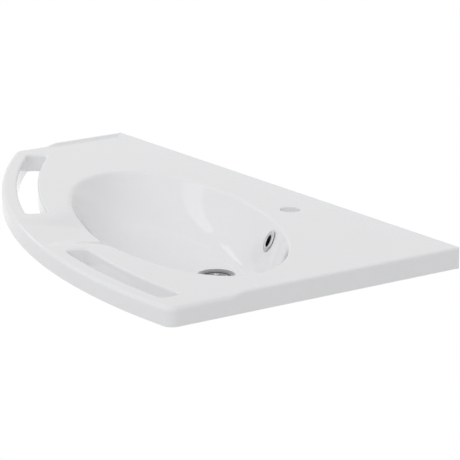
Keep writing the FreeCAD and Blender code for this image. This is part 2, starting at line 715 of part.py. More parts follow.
def waste_body():
    """Lower part: flange under the boss, socket for the tube, tail with a three-armed spider."""
    socket = TUBE / 2 + FIT
    neck = socket + TAIL_WALL
    tail = TAIL / 2
    bore = tail - TAIL_WALL
    body = turned([
        (bore, Z_TAIL), (tail, Z_TAIL), (tail, Z_TAIL_TOP), (neck, Z_TAIL_TOP),
        (neck, Z_BODY_FLANGE), (BODY_FLANGE / 2, Z_BODY_FLANGE), (BODY_FLANGE / 2, Z_BODY_SEAL),
        (socket, Z_BODY_SEAL), (socket, Z_TUBE - 0.5), (bore, Z_TUBE - 0.5)])
    hub = cylinder(SPIDER_HUB / 2, Z_SPIDER - INSERT_LENGTH, Z_SPIDER)
    arms = []
    for i in range(3):
        arm = Part.makeBox(bore + 1, SPIDER_ARM, INSERT_LENGTH * 0.8,
                           V(0, -SPIDER_ARM / 2, Z_SPIDER - INSERT_LENGTH * 0.8))
        arm.rotate(V(0, 0, 0), V(0, 0, 1), 120.0 * i + 90)
        arms.append(arm)
    body = body.fuse([hub] + arms)
    body = body.cut(cylinder(INSERT / 2, Z_SPIDER - INSERT_LENGTH - 1, Z_SPIDER + 1))
    body.translate(WASTE)
    return body


def waste_insert():
    """Threaded brass insert in the spider's hub."""
    return washer(INSERT / 2, SCREW / 2 + 0.1, Z_SPIDER - INSERT_LENGTH, Z_SPIDER)


def waste_screw():
    """Slotted screw with a raised head that draws strainer and lower body together."""
    r = SCREW_HEAD / 2
    h = SCREW_HEAD_HEIGHT
    tip = Z_SPIDER - INSERT_LENGTH - 2
    shank = SCREW / 2
    body = turned([
        (0, tip), (shank, tip), (shank, Z_HEAD), (r, Z_HEAD), (r, Z_HEAD + h * 0.5),
        (r * 0.6, Z_HEAD + h), (0, Z_HEAD + h)])
    slot = Part.makeBox(2 * SCREW_HEAD, SCREW_SLOT, h,
                        V(-SCREW_HEAD, -SCREW_SLOT / 2, Z_HEAD + h * 0.45))
    slot.rotate(V(0, 0, 0), V(0, 0, 1), SCREW_TURN)
    body = body.cut(slot)
    body.translate(WASTE)
    return body


# ---- wall fixing ----

def fixing_bushes():
    """Sleeves moulded into the two wall-fixing holes."""
    outer = FIXING_BORE / 2 + BUSH_WALL
    t = BUSH_FLANGE_THICK
    bush = turned([
        (FIXING_BORE / 2, 0.5), (outer, 0.5), (outer, BACK_SKIRT), (BUSH_FLANGE / 2, BACK_SKIRT),
        (BUSH_FLANGE / 2, BACK_SKIRT + t), (FIXING_BORE / 2, BACK_SKIRT + t)])
    pair = []
    for side in (-1, 1):
        at = V(side * FIXING_SPACING / 2, 0, -FIXING_BELOW)
        pair.append(placed(bush, at, V(0, -1, 0)))
    return Part.makeCompound(pair)


def main():
    os.makedirs(OUT, exist_ok=True)
    inner = bowl_solid()
    p, n = overflow_frame(inner)
    parts = {
        "basin_body": basin_body(inner, p, n),
        "overflow_channel": overflow_channel(p),
        "overflow_ring": overflow_ring(p, n),
        "waste_strainer": waste_strainer(),
        "waste_flange_seal": waste_flange_seal(),
        "waste_screw": waste_screw(),
        "waste_body": waste_body(),
        "waste_insert": waste_insert(),
        "waste_body_seal": waste_body_seal(),
        "fixing_bushes": fixing_bushes(),
    }
    for name, shape in parts.items():
        shape.exportStep(os.path.join(OUT, name + ".step"))
        print(name, shape.isValid(), len(shape.Solids), round(shape.Volume))
    print("overflow at", p, "facing", n)


main()
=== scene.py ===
import bmesh
import bpy
import json
import math
import numpy as np
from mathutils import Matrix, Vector
from mathutils.geometry import delaunay_2d_cdt


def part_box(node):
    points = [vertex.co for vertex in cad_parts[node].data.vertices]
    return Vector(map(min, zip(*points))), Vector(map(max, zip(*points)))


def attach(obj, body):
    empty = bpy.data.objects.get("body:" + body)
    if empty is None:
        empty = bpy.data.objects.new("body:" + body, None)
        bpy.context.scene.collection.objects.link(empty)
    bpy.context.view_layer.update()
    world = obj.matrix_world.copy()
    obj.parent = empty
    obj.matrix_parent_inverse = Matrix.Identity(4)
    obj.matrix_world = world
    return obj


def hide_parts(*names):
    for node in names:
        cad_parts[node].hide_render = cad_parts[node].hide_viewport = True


# Looks of the corner washbasin. Angles are in degrees, sizes in millimetres until a mesh is made.
# Origin on the back wall at deck height, in line with the tap hole; +X right, +Y into the wall, +Z up.

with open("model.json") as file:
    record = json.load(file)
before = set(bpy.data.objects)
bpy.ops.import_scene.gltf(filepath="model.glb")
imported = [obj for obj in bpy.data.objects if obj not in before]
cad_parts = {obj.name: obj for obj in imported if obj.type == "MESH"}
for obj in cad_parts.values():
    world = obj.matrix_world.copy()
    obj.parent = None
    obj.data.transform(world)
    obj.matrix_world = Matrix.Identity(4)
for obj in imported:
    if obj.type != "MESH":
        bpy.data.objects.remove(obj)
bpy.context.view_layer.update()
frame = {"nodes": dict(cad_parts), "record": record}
MM = 0.001

# ---- outline and edges ----
LENGTH = 1000.0
TAP_FROM_RIGHT = 363.0
DEPTH_RIGHT = 566.5
DEPTH_LEFT = 231.5
FRONT_RADIUS = 1300.0
EDGE_HEIGHT = 31.8
CORNER_RIGHT = 18.0
CORNER_LEFT = 20.0
CORNER_WALL_RIGHT = 4.0
CORNER_WALL_LEFT = 3.0
TOP_ROUND = 8.0
BOTTOM_ROUND = 2.0
LIP_HEIGHT = 3.8
LIP_WIDTH = 14.5
LIP_CREST = 6.0
LIP_ROUND = 4.0
LIP_ROUND_BACK = 1.5
LIP_LEFT_RUN = 146.0       # from the back wall along the left end
LIP_RIGHT_RUN = 431.0      # and along the right end
LIP_RAMP = 28.0
LIP_FOOT_GAP = 0.5         # least flat between the top round and the lip's inner slope
BAND = 16.0                # width of the edge band, up to the flat deck
BAND_STEPS = 64            # outline loops that the band is taken from
BAND_SUNK_FROM = 18        # first row of the band that the dip may lower
FOOT_INSET = 3.0           # where the band starts on the lower face
BOTTOM_ROUND_BACK = 0.3
WALL_EASE = 6.0            # run over which the edge changes at the back wall
TOUCH = 0.01               # nearer than this to an end or a wall counts as on it

# ---- hand slots and dip ----
GRIP_WIDTH = 27.2
SLOT_WIDTH = 36.5
SLOT_CORNER = 10.0
SLOT_TOP_ROUND = 4.5
SLOT_LOW_ROUND = 1.5
SLOT_END_LEFT = 50.0
SLOT_END_RIGHT = 56.0
LAND_FROM_TAP = -115.0
LAND_WIDTH = 242.0
DIP_SIDE = 40.0
DIP_FALL = 7.0             # towards the bowl
DIP_SLOPE = 10.0 / 42.0    # of its side ramps
DIP_FLARE = 70.0
DIP_SOFT = 3.0             # softness of its edges, in height
DIP_INTO_BOWL = 45.0       # how far inside the rim the dip still counts
DIP_MIDDLE = 60.0          # from the front edge to the middle of its dense mesh
DIP_REACH = (210.0, 110.0)  # half its length and width

# ---- bowl: right, left, far and near side ----
BOWL_CENTRE = (-57.85, -272.35)
BOWL_HALF = (350.992, 159.6285)
BOWL_TURN = -16.3
BOWL_DEPTH = 88.5
RIM_DROP = 52.0
ROLL_DROP = 5.0
FLOOR_FALL = 2.0
WALL_ANGLE = (32.0, 38.0, 27.0, 42.0)
FLOOR_REACH = (120.0, 200.0, 5.0, 90.0)
RIM_EASE = (3.1, 3.9, 2.6, 12.0)
RIM_ROLL = (4.0, 4.0, 4.0, 9.0)
BOWL_WALL = 12.0
SHELL_TOP = 2.0            # depth at which the outside starts
KNEE_GROW = 1.35           # of the wall, where the outside bends most
CORNER_CUT = 0.70          # of the outside's depth, where it bends
FOOT_SPREAD = 0.3          # how far the foot goes from the floor towards a straight wall
FOOT_ROUND = 0.12          # of the way to the boss, where the foot's bend ends

# ---- underside and wall plate ----
DECK_THICK = 14.0
SKIRT = 12.0
BACK_SKIRT = 16.0
HOLLOW_ROUND = 4.5
SLOT_WALL = 10.0
APRON_WIDTH = 380.0
APRON_HEIGHT = 88.0
APRON_CORNER = 16.0
APRON_EASE = 1.5
APRON_SPLIT = -50.0        # height of one more point on each side
FIXING_SPACING = 280.0
FIXING_BELOW = 58.0
FIXING_HOLE = 17.0
RIB_THICK = 10.0
RIB_REACH = 40.0
RIB_FROM_FIXING = 34.0
RIB_EASE = 1.5
SINK = 1.0                 # how far a rib goes into its neighbours

# ---- tap hole, waste and overflow ----
TAP_HOLE = 35.0
TAP_FROM_WALL = 71.6
TAP_EASE = ((1.5, 0.0), (0.85, -0.12), (0.4, -0.45), (0.1, -1.0), (0.0, -1.6), (0.0, -DECK_THICK))
TAP_COLUMNS = 72
WASTE_FROM_WALL = 226.0
WASTE_HOLE = 46.0
BOSS = 86.0
BOSS_DROP = 16.0
BOSS_ROOT = 3.0
BOSS_EASE = 2.0
FLANGE = 63.0
SEAT_LAND = 2.5            # flat ring round the flange's recess
RECESS = 3.2
RECESS_GAP = 0.3
RECESS_EASE = 0.9
HOLE_JOINT = 14.0          # depth below the seat where inside and outside meet
OVERFLOW_HOLE = 25.0
BORE_MARGIN = 1.5          # left open round the overflow hole until its wall is made
BORE_NEAR = 25.0           # open edges nearer to its axis than this belong to it
BORE_LENGTH = 30.0
OVERFLOW_AT = (62.0, -161.853, -28.0)
OVERFLOW_AXIS = (-0.3485, -0.8302, 0.4351)
RING_SEAT = 0.4            # from the overflow's point on the wall to the ring's underside
RING = 37.9
RING_THICK = 1.7
RING_SLEEVE = 24.4
RING_BORE = 21.0
RING_REACH = 16.8
RING_EASE = ((1.1, 0.8), (1.45, 1.1))  # at the bore and at the rim: across, and down from the top
RING_ROUND = 0.9

# ---- waste: flange, dish, pierced floor and screw ----
TUBE = 44.0
TUBE_BORE = 41.0
TUBE_LEDGE = 0.1           # step from the bore to the floor's underside
FLANGE_THICK = 2.2
BRIGHT_EDGE = 2.2          # width of the bright chrome ring round the dish; inside it a darker chrome paints shade and a dark reflection
FLANGE_STEPS = ((0.0, 0.5), (1.2, 0.01), (7.0, 1.5), (8.2, 3.0))  # in from its rim, down from its top
DISH = 36.8
DISH_FOOT = (1.2, 0.4)     # out from the flat floor, and up
DISH_DEPTH = 8.5
DISH_FLOOR = 2.0
SCREW_BOSS = 15.2
SCREW_SEAT = 10.8
SCREW_SEAT_UP = 6.0
SCREW_BORE = 6.6
HOLES = 6
HOLE_AT = 13.0
HOLE = 8.6
FLANGE_ROUND = 1.6
TUBE_ROUND = 0.3
SCREW_BOSS_ROUND = 1.0
SCREW_HEAD = 9.6
SCREW_HEAD_THICK = 3.2
SCREW_RIM = 1.7            # height of the head's upright side
SCREW_SHOULDER = (0.62, 0.15)  # share of the head's radius, and below its top
SCREW_DOME = 0.95          # share of the head's radius where the dome starts
SCREW_ROUND = 0.9
SCREW_SHANK = 6.0
SCREW_TIP_EASE = (0.4, 0.6)
SCREW_SLOT = 0.95          # half its width
SCREW_SLOT_SOFT = 0.25
SCREW_SLOT_FLOOR = 1.5     # above the head's underside
SCREW_TURN = -17.0

# ---- light, sky and camera: metres, watts and degrees ----
SKY_TOWARDS = (0.15, -0.48, 0.86)
SKY_SPAN = (-0.1, 1.0)
SKY_LIGHT = (0.34, 0.96)
SKY_TINT = (0.99, 0.993, 1.0, 1)
LAMPS = (
    # name, place, size, power; all are aimed at the origin
    ("left_box", (-2.22, -1.71, 1.07), (1.55, 0.31), 2.2),
    ("side_box", (-2.82, -0.35, 0.95), (0.73, 0.26), 0.6),
)
STAGE_HALF = 12.0
STAGE_HEIGHT = -0.85
STAGE_TINT = (0.85, 0.85, 0.85, 1)
STAGE_ROUGH = 0.9
CAMERA_AT = (3.57627, -2.74188, 1.17658)
CAMERA_AZIMUTH = 54.57
CAMERA_ELEVATION = 15.21
CAMERA_LENS = 212.1        # millimetres, like the sensor
CAMERA_SENSOR = 36.0
CAMERA_CLIP = (0.1, 60.0)

# ---- mesh density ----
OUTLINE_COUNTS = (220, 12, 200, 8, 240, 8, 110, 12)  # bow, then corner and side in turn from the right
SLOT_COUNTS = (90, 10, 8)  # long side, corner and end of a hand slot
BOWL_COLUMNS = 320
BOWL_COUNTS = (14, 56, 10)  # rows of the rim's roll, the wall and the floor
SHELL_COUNTS = (6, 16, 12, 6, 5)  # rows of each curve from the deck's underside to the boss
DIP_GRID = 2.5
DIP_GRID_GAP = 1.5         # least distance from its points to the loops
RING_COLUMNS = 96
WASTE_COLUMNS = 128
HOLE_COLUMNS = 40
FIXING_COLUMNS = 48
SCREW_COLUMNS = 144
DOME_ROWS = 26
ROUND_SHARE = 0.45         # most of a side that one rounded corner takes
WELD = 2e-6                # metres
SPECK = 1e-6

X_RIGHT = TAP_FROM_RIGHT
X_LEFT = TAP_FROM_RIGHT - LENGTH
SEAT_Z = -BOWL_DEPTH
SHELL_Z = -BOWL_DEPTH - BOWL_WALL
BOSS_Z = SHELL_Z - BOSS_DROP
SEAT_RADIUS = FLANGE / 2 + SEAT_LAND


def smooth(t):
    """Eased step from 0 to 1."""
    t = np.clip(t, 0.0, 1.0)
    return t * t * (3 - 2 * t)


def low_blend(a, b, k):
    """Smaller of two heights, with a soft change over k."""
    h = np.clip(0.5 + 0.5 * (b - a) / k, 0, 1)
    return b * (1 - h) + a * h - k * h * (1 - h)


def high_blend(a, b, k):
    """Larger of two heights, with a soft change over k."""
    return -low_blend(-a, -b, k)


# ---- plan curves ----

def bow_centre():
    """Centre of the arc through both front corners."""
    a = np.array([X_LEFT, -DEPTH_LEFT])
    b = np.array([X_RIGHT, -DEPTH_RIGHT])
    chord = b - a
    half = np.linalg.norm(chord) / 2
    inward = np.array([-chord[1], chord[0]]) / (2 * half)
    return (a + b) / 2 + inward * math.sqrt(FRONT_RADIUS ** 2 - half ** 2)


CENTRE = bow_centre()


def polar(radius, angle):
    """Points at a radius from the bow's centre; the angle runs from -Y and grows to the left."""
    return CENTRE + np.stack([-radius * np.sin(angle), -radius * np.cos(angle)], -1)


def between(a, b, count):
    """Even steps from a towards b, without b itself."""
    return np.linspace(a, b, count, endpoint=False)


def corner_arc(centre, radius, start, turn, count):
    """Arc of a corner, or its mitre point where the radius is used up."""
    q = between(start, start + turn, count)
    if radius > 0:
        return centre + radius * np.stack([np.cos(q), np.sin(q)], -1)
    mitre = np.array([math.cos(start) + math.cos(start + turn), math.sin(start) + math.sin(start + turn)])
    return np.tile(centre + radius * mitre, (count, 1))


def outline(inset, ends, wall_y, radius, corners):
    """Closed plan loop: bow, right end, wall side and left end, moved inwards by the inset."""
    x0, x1 = ends
    right, wall_right, wall_left, left = corners

    def front_corner(x, r, side):
        """Centre of the rounded corner between the bow and an end."""
        cx = x - side * r
        cy = CENTRE[1] - math.sqrt((radius - r) ** 2 - (cx - CENTRE[0]) ** 2)
        return np.array([cx, cy])

    near_right = front_corner(x1, right, 1)
    near_left = front_corner(x0, left, -1)
    far_right = np.array([x1 - wall_right, wall_y - wall_right])
    far_left = np.array([x0 + wall_left, wall_y - wall_left])
    tilt_right = math.atan2(near_right[0] - CENTRE[0], -(near_right[1] - CENTRE[1]))
    tilt_left = math.atan2(near_left[0] - CENTRE[0], -(near_left[1] - CENTRE[1]))
    d, n = inset, OUTLINE_COUNTS
    half = math.pi / 2
    y_right = between(near_right[1], wall_y - max(wall_right, d), n[2])
    x_back = between(x1 - max(wall_right, d), x0 + max(wall_left, d), n[4])
    y_left = between(wall_y - max(wall_left, d), near_left[1], n[6])
    return np.concatenate([
        polar(radius - d, between(-tilt_left, -tilt_right, n[0])),
        corner_arc(near_right, right - d, tilt_right - half, half - tilt_right, n[1]),
        np.stack([np.full(n[2], x1 - d), y_right], -1),
        corner_arc(far_right, wall_right - d, 0.0, half, n[3]),
        np.stack([x_back, np.full(n[4], wall_y - d)], -1),
        corner_arc(far_left, wall_left - d, half, half, n[5]),
        np.stack([np.full(n[6], x0 + d), y_left], -1),
        corner_arc(near_left, left - d, math.pi, half + tilt_left, n[7]),
    ])


def basin_outline(inset):
    """The basin's own outline, moved inwards by the inset."""
    corners = (CORNER_RIGHT, CORNER_WALL_RIGHT, CORNER_WALL_LEFT, CORNER_LEFT)
    return outline(inset, (X_LEFT, X_RIGHT), 0.0, FRONT_RADIUS, corners)


def slot_angles():
    """Angles of both hand slots' ends on the bow: left slot, then right slot."""
    mid = FRONT_RADIUS - GRIP_WIDTH - SLOT_WIDTH / 2
    land = math.asin((CENTRE[0] - LAND_FROM_TAP) / mid)
    half = LAND_WIDTH / 2 / mid
    left_end = math.asin((CENTRE[0] - (X_LEFT + SLOT_END_LEFT)) / mid)
    right_end = math.asin((CENTRE[0] - (X_RIGHT - SLOT_END_RIGHT)) / mid)
    return (land + half, left_end), (right_end, land - half)


def slot_corner(radius, angle, turn, outer):
    """Centre of a slot's rounded corner, its place on the bow, first direction and sweep."""
    c = SLOT_CORNER
    reach = radius - c if outer else radius + c
    at = angle + turn * math.asin(c / reach)
    along = np.array([-math.sin(at), -math.cos(at)]) * (1 if outer else -1)
    side = np.array([-math.cos(angle), math.sin(angle)]) * -turn
    start = math.atan2(along[1], along[0])
    sweep = (math.atan2(side[1], side[0]) - start + math.pi) % (2 * math.pi) - math.pi
    return polar(reach, at), at, start, sweep


def slot_loop(a0, a1, grow):
    """Closed loop round a hand slot, grown outwards; a0 is its right end, a1 its left end."""
    front = FRONT_RADIUS - GRIP_WIDTH
    back = front - SLOT_WIDTH
    long_count, corner_count, end_count = SLOT_COUNTS
    front_right = slot_corner(front, a0, 1, True)
    front_left = slot_corner(front, a1, -1, True)
    back_right = slot_corner(back, a0, 1, False)
    back_left = slot_corner(back, a1, -1, False)
    r = SLOT_CORNER + grow
    loop = []
    for radius, first, last, across in ((front + grow, front_left, front_right, back_right),
                                        (back - grow, back_right, back_left, front_left)):
        centre, at, start, sweep = last
        loop.append(polar(radius, between(first[1], at, long_count)))
        loop.append(corner_arc(centre, r, start, sweep, corner_count))
        leave = corner_arc(centre, r, start + sweep, 0, 1)[0]
        centre, _, start, sweep = across
        arc = corner_arc(centre, r, start + sweep, -sweep, corner_count)
        loop.append(leave + (arc[0] - leave) * between(0, 1, end_count)[:, None])
        loop.append(arc)
    return np.concatenate(loop)


def circle(x, y, radius, count):
    """Closed ring of plan points."""
    q = between(0, 2 * math.pi, count)
    return np.stack([x + radius * np.cos(q), y + radius * np.sin(q)], -1)


# ---- dip ----

def rim_reach(start, direction):
    """How far the near rim lies from a point, along a level direction."""
    q = math.radians(BOWL_TURN)
    turn = np.array([[math.cos(q), math.sin(q)], [-math.sin(q), math.cos(q)]])
    p = turn @ (start - np.array(BOWL_CENTRE)) / BOWL_HALF
    d = turn @ direction / BOWL_HALF
    k = d @ d
    h = p @ d / k
    return math.sqrt(h * h - (p @ p - 1) / k) - h


def dip_height(x, y):
    """Height of the run-off dip over the whole plan; above zero outside it."""
    (l0, _), (_, r1) = slot_angles()
    reach = FRONT_RADIUS - GRIP_WIDTH - SLOT_WIDTH / 2
    p = np.stack([x, y], -1) - CENTRE
    mid = (l0 + r1) / 2
    floor = p @ np.array([-math.sin(mid), -math.cos(mid)]) - FRONT_RADIUS + TOP_ROUND
    height = floor * math.tan(math.radians(DIP_FALL))
    for angle, turn in ((l0 - DIP_SIDE / reach, 1), (r1 + DIP_SIDE / reach, -1)):
        out = np.array([-math.sin(angle), -math.cos(angle)])
        along = np.array([-math.cos(angle), math.sin(angle)]) * turn
        rim = rim_reach(CENTRE + along * DIP_FLARE, out)
        t = p @ along
        r = p @ out
        drop = np.clip(rim + DIP_FLARE - r, 0, None)
        depth = np.where(drop > 0, np.hypot(t - DIP_FLARE, drop) - DIP_FLARE, -t)
        depth = np.where((t < DIP_FLARE) & (r > rim - DIP_INTO_BOWL), depth, -DIP_FLARE)
        height = high_blend(height, -depth * DIP_SLOPE, DIP_SOFT)
    return height


def sunk(points):
    """Points of the top face, let down into the dip where it lies lower."""
    out = points.copy()
    out[..., 2] = low_blend(points[..., 2], dip_height(points[..., 0], points[..., 1]), DIP_SOFT)
    return out


# ---- mesh pieces ----

class Sheet:
    """Vertices and faces that are gathered before they become one mesh."""

    def __init__(self):
        self.verts = []
        self.faces = []
        self.count = 0

    def add(self, verts, faces):
        """Takes vertices, and faces that count them from zero."""
        base = self.count
        self.verts.append(np.asarray(verts, float).reshape(-1, 3))
        self.count += len(self.verts[-1])
        self.faces.extend([[base + i for i in f] for f in faces])

    def grid(self, rows, flip=False, skip=None):
        """Quads between closed rows of equal length."""
        rows = np.asarray(rows)
        m, n = rows.shape[:2]
        faces = []
        for i in range(m - 1):
            for j in range(n):
                k = (j + 1) % n
                quad = [i * n + j, i * n + k, (i + 1) * n + k, (i + 1) * n + j]
                faces.append(quad[::-1] if flip else quad)
        if skip is not None:
            flat = rows.reshape(-1, 3)
            faces = [f for f in faces if not skip(flat[f].mean(0))]
        self.add(rows, faces)

    def fill(self, loops, place, flip=False, inner=None):
        """Triangles between an outer loop and its holes; place turns plan points into space."""
        points = [p for loop in loops for p in loop]
        edges = []
        base = 0
        for loop in loops:
            n = len(loop)
            edges += [(base + i, base + (i + 1) % n) for i in range(n)]
            base += n
        if inner is not None:
            points += list(inner)
        verts, _, faces, _, _, _ = delaunay_2d_cdt([Vector(p) for p in points], edges, [], 0, 1e-6)
        plan = np.array([tuple(v) for v in verts])
        faces = np.array([list(f) for f in faces])
        mid = plan[faces].mean(1)
        keep = inside(mid, loops[0])
        for loop in loops[1:]:
            keep &= ~inside(mid, loop)
        faces = faces[keep]
        used = np.unique(faces)
        index = -np.ones(len(plan), int)
        index[used] = np.arange(len(used))
        faces = index[faces]
        self.add(place(plan[used]), faces[:, ::-1] if flip else faces)

    def build(self, name, material, angle=32.0, finish=None):
        """One welded object with smooth shading, sharp where faces meet at more than the angle."""
        mesh = bpy.data.meshes.new(name)
        mesh.from_pydata((np.concatenate(self.verts) * MM).tolist(), [], [list(f) for f in self.faces])
        bm = bmesh.new()
        bm.from_mesh(mesh)
        bmesh.ops.remove_doubles(bm, verts=bm.verts, dist=WELD)
        bmesh.ops.dissolve_degenerate(bm, dist=SPECK, edges=bm.edges)
        if finish:
            finish(bm)
        bmesh.ops.recalc_face_normals(bm, faces=bm.faces)
        for face in bm.faces:
            face.smooth = True
        bm.to_mesh(mesh)
        bm.free()
        mesh.set_sharp_from_angle(angle=math.radians(angle))
        mesh.materials.append(material)
        obj = bpy.data.objects.new(name, mesh)
        bpy.context.scene.collection.objects.link(obj)
        even = obj.modifiers.new("even_normals", "WEIGHTED_NORMAL")
        even.mode = "FACE_AREA"
        even.weight = 50
        even.keep_sharp = True
        return obj


def inside(points, loop):
    """Which plan points lie inside a closed loop."""
    a = np.asarray(loop)
    b = np.roll(a, -1, 0)
    hits = np.zeros(len(points), int)
    for (ax, ay), (bx, by) in zip(a, b):
        if ay == by:
            continue
        over = (ay > points[:, 1]) != (by > points[:, 1])
        cross = ax + (points[:, 1] - ay) * (bx - ax) / (by - ay)
        hits += over & (points[:, 0] < cross)
    return hits % 2 == 1


def level(z):
    """Turns plan points into space points at one height."""
    return lambda plan: np.column_stack([plan, np.full(len(plan), z)])


def lifted(plan, z):
    """Plan points at a height, or each at its own height."""
    return np.column_stack([plan, np.broadcast_to(z, len(plan))])


# ---- edge band ----

def edge_stations():
    """Height of the raised edge, radius of the top and of the bottom edge, for each outline point."""
    plan = basin_outline(BAND / 2)
    at_wall = plan[:, 1] > -BAND / 2 - TOUCH
    right = plan[:, 0] > X_RIGHT - BAND / 2 - TOUCH
    left = plan[:, 0] < X_LEFT + BAND / 2 + TOUCH
    run = np.where(right, LIP_RIGHT_RUN, LIP_LEFT_RUN)
    share = 1 - smooth((-plan[:, 1] - run) / LIP_RAMP)
    share = np.where(at_wall | right | left, share, 0.0)
    share = np.where(at_wall, 1.0, share)
    height = LIP_HEIGHT * share
    top = TOP_ROUND + (LIP_ROUND - TOP_ROUND) * share
    near_wall = smooth(1 - (-plan[:, 1] - BAND / 2) / WALL_EASE)
    top = top + (LIP_ROUND_BACK - top) * near_wall
    low = BOTTOM_ROUND * (1 - near_wall) + BOTTOM_ROUND_BACK * near_wall
    return height, top, low


def band_profile(height, top, low):
    """Section rows of the edge: (inset, height) for every outline point, from below to the deck."""
    rows = [(np.full_like(low, FOOT_INSET), np.full_like(low, -EDGE_HEIGHT))]
    for q in np.linspace(0, math.pi / 2, 5):
        rows.append((low * (1 - math.sin(q)), -EDGE_HEIGHT + low * (1 - math.cos(q))))
    z0 = -EDGE_HEIGHT + low
    z1 = height - top
    for t in (0.2, 0.4, 0.6, 0.8):
        rows.append((np.zeros_like(low), z0 + (z1 - z0) * t))
    for q in np.linspace(0, math.pi / 2, 10):
        rows.append((top * (1 - math.cos(q)), height - top + top * math.sin(q)))
    crest = np.maximum(LIP_CREST, top + LIP_FOOT_GAP)
    for t in np.linspace(0, 1, 10):
        rows.append((crest + (LIP_WIDTH - crest) * t, height * (1 - smooth(t))))
    rows.append((np.full_like(low, BAND), np.zeros_like(low)))
    return rows


def band_rows():
    """Space points of the band: each inset is taken from the two nearest whole-outline loops."""
    height, top, low = edge_stations()
    loops = np.array([basin_outline(d) for d in np.linspace(0, BAND, BAND_STEPS + 1)])
    rows = []
    for inset, z in band_profile(height, top, low):
        k = np.clip(inset / BAND * BAND_STEPS, 0, BAND_STEPS - 1e-9)
        i = k.astype(int)
        f = (k - i)[:, None]
        j = np.arange(len(inset))
        plan = loops[i, j] * (1 - f) + loops[i + 1, j] * f
        rows.append(np.column_stack([plan, z]))
    return rows


# ---- bowl ----

def bowl_axes():
    """Level directions along and across the oval."""
    q = math.radians(BOWL_TURN)
    return np.array([math.cos(q), math.sin(q)]), np.array([-math.sin(q), math.cos(q)])


def oval(widths, z):
    """Row of the bowl from its widths to the right, left, far and near side."""
    u, n = bowl_axes()
    right, left, far, near = widths
    q = between(0, 2 * math.pi, BOWL_COLUMNS)
    mid = np.array(BOWL_CENTRE) + u * ((right - left) / 2) + n * ((far - near) / 2)
    plan = mid + np.outer(np.cos(q), u) * ((right + left) / 2) + np.outer(np.sin(q), n) * ((far + near) / 2)
    return lifted(plan, z)


def rims():
    """Widths of the rim line."""
    return np.array([BOWL_HALF[0], BOWL_HALF[0], BOWL_HALF[1], BOWL_HALF[1]])


def seats(radius):
    """Widths of a circle round the waste, seen from the bowl's centre."""
    u, n = bowl_axes()
    off = np.array([0.0, -WASTE_FROM_WALL]) - np.array(BOWL_CENTRE)
    du, dn = off @ u, off @ n
    return np.array([radius + du, radius - du, radius + dn, radius - dn])


def wall_widths(depth):
    """Widths at a depth, if the walls ran straight."""
    return rims() - depth * np.tan(np.radians(WALL_ANGLE))


def bezier(rows, count):
    """Rows along a Bezier curve through control rows."""
    n = len(rows) - 1
    out = []
    for t in np.linspace(0, 1, count):
        out.append(sum(math.comb(n, i) * t ** i * (1 - t) ** (n - i) * r for i, r in enumerate(rows)))
    return out


def bowl_controls():
    """Control rows of the rolled rim and of the wall below it."""
    eased = rims() - np.array(RIM_EASE)
    upper = wall_widths(RIM_DROP)
    edge = eased + (eased - upper) * ROLL_DROP / (RIM_DROP - ROLL_DROP)
    start = edge + np.array(RIM_ROLL)
    floor = SEAT_Z + FLOOR_FALL
    roll = [oval(start, 0.0), oval(edge, 0.0), oval(eased, -ROLL_DROP)]
    wall = [roll[2], oval(upper, -RIM_DROP), oval(wall_widths(BOWL_DEPTH), floor),
            oval(seats(SEAT_RADIUS) + np.array(FLOOR_REACH), floor)]
    return roll, wall


def bowl_rows():
    """Inside of the bowl, from the rim over the wall and floor into the waste hole."""
    roll, wall = bowl_controls()
    roll_count, wall_count, floor_count = BOWL_COUNTS
    rows = bezier(roll, roll_count)[:-1] + bezier(wall, wall_count)
    foot = rows[-1]
    seat = oval(seats(SEAT_RADIUS), SEAT_Z)
    rows += [foot * (1 - t) + seat * t for t in np.linspace(0, 1, floor_count + 1)[1:]]
    side = FLANGE / 2 + RECESS_GAP
    hole = WASTE_HOLE / 2
    e = RECESS_EASE
    recess = ((side + e, 0.0), (side + e / 3, -e / 3), (side, -e), (side, -RECESS), (hole, -RECESS),
              (hole, -HOLE_JOINT))
    rows += [oval(seats(r), SEAT_Z + z) for r, z in recess]
    return sunk(np.array(rows))


def shell_rows():
    """Underside of the bowl, from the deck's underside to the boss and into the waste hole."""
    low = SHELL_Z
    bend = low * CORNER_CUT
    start = wall_widths(SHELL_TOP) + BOWL_WALL
    knee = wall_widths(-bend) + BOWL_WALL * KNEE_GROW
    floor = seats(SEAT_RADIUS) + np.array(FLOOR_REACH)
    foot = floor + (wall_widths(-low) - floor) * FOOT_SPREAD + BOWL_WALL
    share = (DECK_THICK - SHELL_TOP) / (-bend - SHELL_TOP)
    top = oval(start + (knee - start) * share, -DECK_THICK)
    bent = oval(knee, bend)
    base = oval(foot, low)
    half_up = (top + bent) / 2
    half_down = (bent + base) / 2
    inner = base + (oval(seats(BOSS / 2), low) - base) * FOOT_ROUND
    root = oval(seats(BOSS / 2 + BOSS_ROOT), low)
    curves = ([top, half_up], [half_up, bent, half_down], [half_down, base, inner], [inner, root],
              [root, oval(seats(BOSS / 2), low), oval(seats(BOSS / 2), low - BOSS_ROOT)])
    rows = [top]
    for curve, count in zip(curves, SHELL_COUNTS):
        rows += bezier(curve, count)[1:]
    r, hole, e = BOSS / 2, WASTE_HOLE / 2, BOSS_EASE
    boss = ((r, BOSS_Z + e), (r - e * 0.3, BOSS_Z + e * 0.3), (r - e, BOSS_Z), (hole, BOSS_Z),
            (hole, SEAT_Z - HOLE_JOINT))
    rows += [oval(seats(r), z) for r, z in boss]
    return np.array(rows)


# ---- body ----

